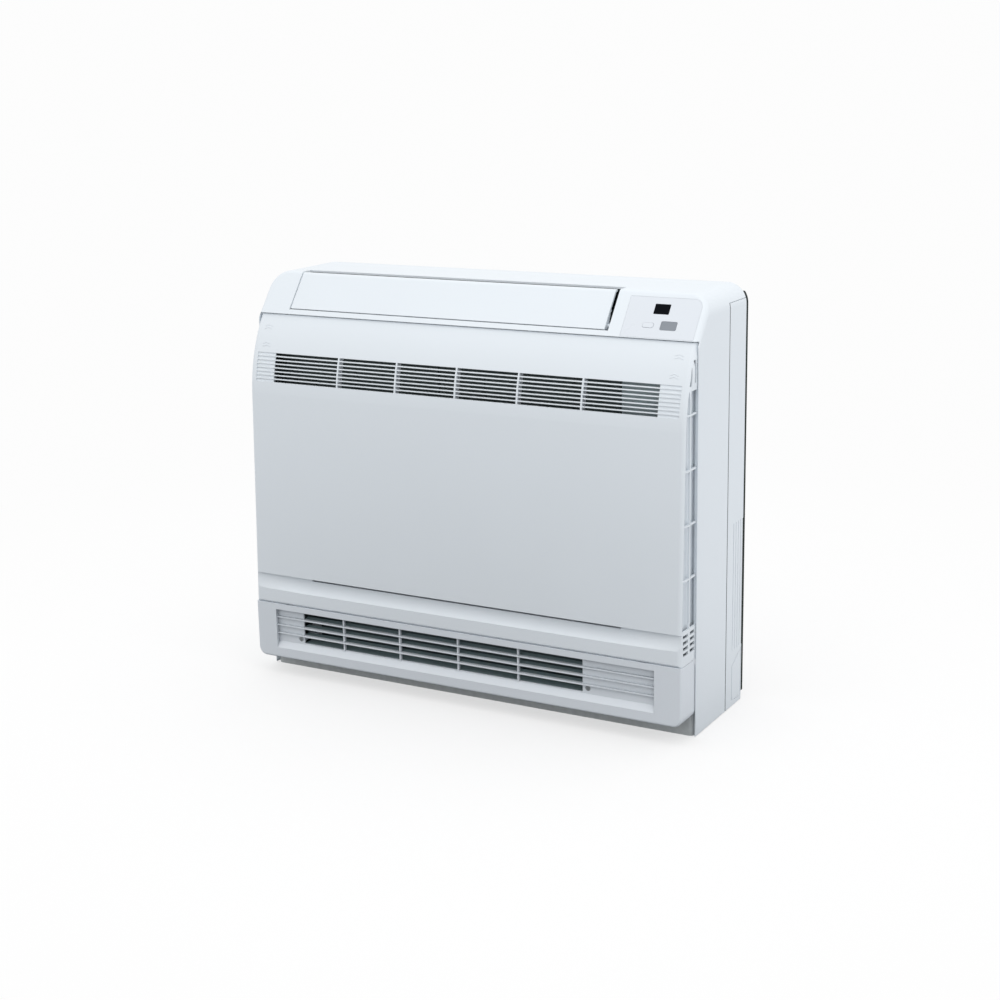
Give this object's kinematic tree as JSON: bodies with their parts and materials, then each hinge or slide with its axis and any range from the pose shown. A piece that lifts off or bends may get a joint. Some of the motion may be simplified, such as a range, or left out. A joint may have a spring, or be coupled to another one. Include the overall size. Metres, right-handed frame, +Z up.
{
  "type": "floor console air conditioner",
  "caption": "Low white floor-standing room air conditioner with a curved front panel, a louvered outlet in its sloped top edge and a slatted outlet at floor level.",
  "frame": {"origin": "centre of the bounding box on the floor", "axes": "+X to the right seen from the front, front faces -Y, +Z up"},
  "size_m": [0.7, 0.215, 0.6],
  "materials": {
    "white_plastic": "fine grain, moulded",
    "pale_inlay": "smooth, slightly blue",
    "black_window": "dark translucent, smooth",
    "grey_window": "smooth, infrared filter",
    "grey_plastic": "moulded",
    "dark_plastic": "moulded",
    "grey_foam": "moulded insulating foam",
    "filter_mesh": "woven mesh on a moulded frame",
    "black_foam": "closed-cell strip",
    "black_rubber": "soft grommet",
    "grey_steel": "satin paint",
    "galvanised_steel": "zinc coated",
    "bright_steel": "plated",
    "dark_steel": "blackened",
    "fin_aluminium": "thin fins",
    "copper": "drawn tube",
    "brass": "turned",
    "green_board": "solder mask"
  },
  "bodies": {
    "cabinet": {"front_case": "white_plastic", "rear_case": "white_plastic", "wall_seal": "black_foam", "base_pan": "grey_steel", "lower_front_case": "white_plastic", "case_screws": "dark_steel", "louver_motor": "bright_steel", "display_panel": "pale_inlay", "display_window": "black_window", "receiver_window": "grey_window", "display_board": "green_board", "vane_carrier": "grey_plastic", "air_duct": "grey_foam", "fan_shroud": "grey_plastic", "fan_motor": "grey_steel", "motor_mount": "galvanised_steel", "air_filter_left": "filter_mesh", "air_filter_right": "filter_mesh", "evaporator_fins": "fin_aluminium", "evaporator_tubes": "copper", "evaporator_end_plates": "galvanised_steel", "drain_pan": "grey_plastic", "drain_spigot": "grey_plastic", "damper_motor": "bright_steel", "control_box": "galvanised_steel", "control_box_cover": "galvanised_steel", "main_board": "green_board", "terminal_block": "dark_plastic", "gas_pipe": "copper", "liquid_pipe": "copper", "pipe_nuts": "brass", "cable_gland": "black_rubber"},
    "front_panel": {"front_panel": "white_plastic", "panel_hinge_pins": "bright_steel"},
    "stopper_left": {"stopper_left": "white_plastic"},
    "stopper_right": {"stopper_right": "white_plastic"},
    "upper_louver": {"upper_louver": "white_plastic"},
    "turbo_fan": {"turbo_fan": "dark_plastic", "fan_nut": "bright_steel", "motor_shaft": "bright_steel"},
    "lower_damper": {"lower_damper": "dark_plastic"},
    "aux_button": {"aux_button": "pale_inlay"},
    "vane_link_left": {"vane_link_left": "dark_plastic"},
    "vane_link_right": {"vane_link_right": "dark_plastic"},
    "vane_1": {"vane_1": "dark_plastic"},
    "vane_2": {"vane_2": "dark_plastic"},
    "vane_3": {"vane_3": "dark_plastic"},
    "vane_4": {"vane_4": "dark_plastic"},
    "vane_5": {"vane_5": "dark_plastic"},
    "vane_6": {"vane_6": "dark_plastic"},
    "vane_7": {"vane_7": "dark_plastic"},
    "vane_8": {"vane_8": "dark_plastic"}
  },
  "joints": [
    {"name": "panel_hinge", "type": "hinge", "parent": "cabinet", "child": "front_panel", "pos_m": [0, -0.1035, 0.1165], "axis": [1, 0, 0], "range_deg": [0, 35]},
    {"name": "stopper_left_slide", "type": "slide", "parent": "front_panel", "child": "stopper_left", "axis": [1, 0, 0], "range_m": [0, 0.006]},
    {"name": "stopper_right_slide", "type": "slide", "parent": "front_panel", "child": "stopper_right", "axis": [-1, 0, 0], "range_m": [0, 0.006]},
    {"name": "louver_hinge", "type": "hinge", "parent": "cabinet", "child": "upper_louver", "pos_m": [-0.04025, -0.04329, 0.55348], "axis": [1, 0, 0], "range_deg": [0, 80]},
    {"name": "fan_spin", "type": "hinge", "parent": "cabinet", "child": "turbo_fan", "pos_m": [-0.04025, 0.05, 0.3062], "axis": [0, 1, 0], "continuous": true},
    {"name": "damper_hinge", "type": "hinge", "parent": "cabinet", "child": "lower_damper", "pos_m": [-0.04025, -0.044, 0.095], "axis": [1, 0, 0], "range_deg": [0, 75]},
    {"name": "button_press", "type": "slide", "parent": "cabinet", "child": "aux_button", "axis": [0, 0.7934, -0.6088], "range_m": [0, 0.0008], "stiffness_N_per_m": 250},
    {"name": "vane_1_swing", "type": "hinge", "parent": "cabinet", "child": "vane_1", "pos_m": [-0.25025, -0.01166, 0.53804], "axis": [0, 0.6088, 0.7934], "range_deg": [-25, 25]},
    {"name": "vane_2_swing", "type": "hinge", "parent": "cabinet", "child": "vane_2", "pos_m": [-0.19025, -0.01166, 0.53804], "axis": [0, 0.6088, 0.7934], "range_deg": [-25, 25]},
    {"name": "vane_3_swing", "type": "hinge", "parent": "cabinet", "child": "vane_3", "pos_m": [-0.13025, -0.01166, 0.53804], "axis": [0, 0.6088, 0.7934], "range_deg": [-25, 25]},
    {"name": "vane_4_swing", "type": "hinge", "parent": "cabinet", "child": "vane_4", "pos_m": [-0.07025, -0.01166, 0.53804], "axis": [0, 0.6088, 0.7934], "range_deg": [-25, 25]},
    {"name": "vane_5_swing", "type": "hinge", "parent": "cabinet", "child": "vane_5", "pos_m": [-0.01025, -0.01166, 0.53804], "axis": [0, 0.6088, 0.7934], "range_deg": [-25, 25]},
    {"name": "vane_6_swing", "type": "hinge", "parent": "cabinet", "child": "vane_6", "pos_m": [0.04975, -0.01166, 0.53804], "axis": [0, 0.6088, 0.7934], "range_deg": [-25, 25]},
    {"name": "vane_7_swing", "type": "hinge", "parent": "cabinet", "child": "vane_7", "pos_m": [0.10975, -0.01166, 0.53804], "axis": [0, 0.6088, 0.7934], "range_deg": [-25, 25]},
    {"name": "vane_8_swing", "type": "hinge", "parent": "cabinet", "child": "vane_8", "pos_m": [0.16975, -0.01166, 0.53804], "axis": [0, 0.6088, 0.7934], "range_deg": [-25, 25]},
    {"name": "vane_link_left_slide", "type": "slide", "parent": "cabinet", "child": "vane_link_left", "axis": [1, 0, 0], "range_m": [-0.0053, 0.0053]},
    {"name": "vane_link_right_slide", "type": "slide", "parent": "cabinet", "child": "vane_link_right", "axis": [1, 0, 0], "range_m": [-0.0053, 0.0053]}
  ],
  "couplings": [
    {"joint": "vane_2_swing", "follows": "vane_1_swing", "ratio": 1},
    {"joint": "vane_3_swing", "follows": "vane_1_swing", "ratio": 1},
    {"joint": "vane_4_swing", "follows": "vane_1_swing", "ratio": 1},
    {"joint": "vane_link_left_slide", "follows": "vane_1_swing", "m_per_rad": -0.012},
    {"joint": "vane_6_swing", "follows": "vane_5_swing", "ratio": 1},
    {"joint": "vane_7_swing", "follows": "vane_5_swing", "ratio": 1},
    {"joint": "vane_8_swing", "follows": "vane_5_swing", "ratio": 1},
    {"joint": "vane_link_right_slide", "follows": "vane_5_swing", "m_per_rad": -0.012}
  ]
}
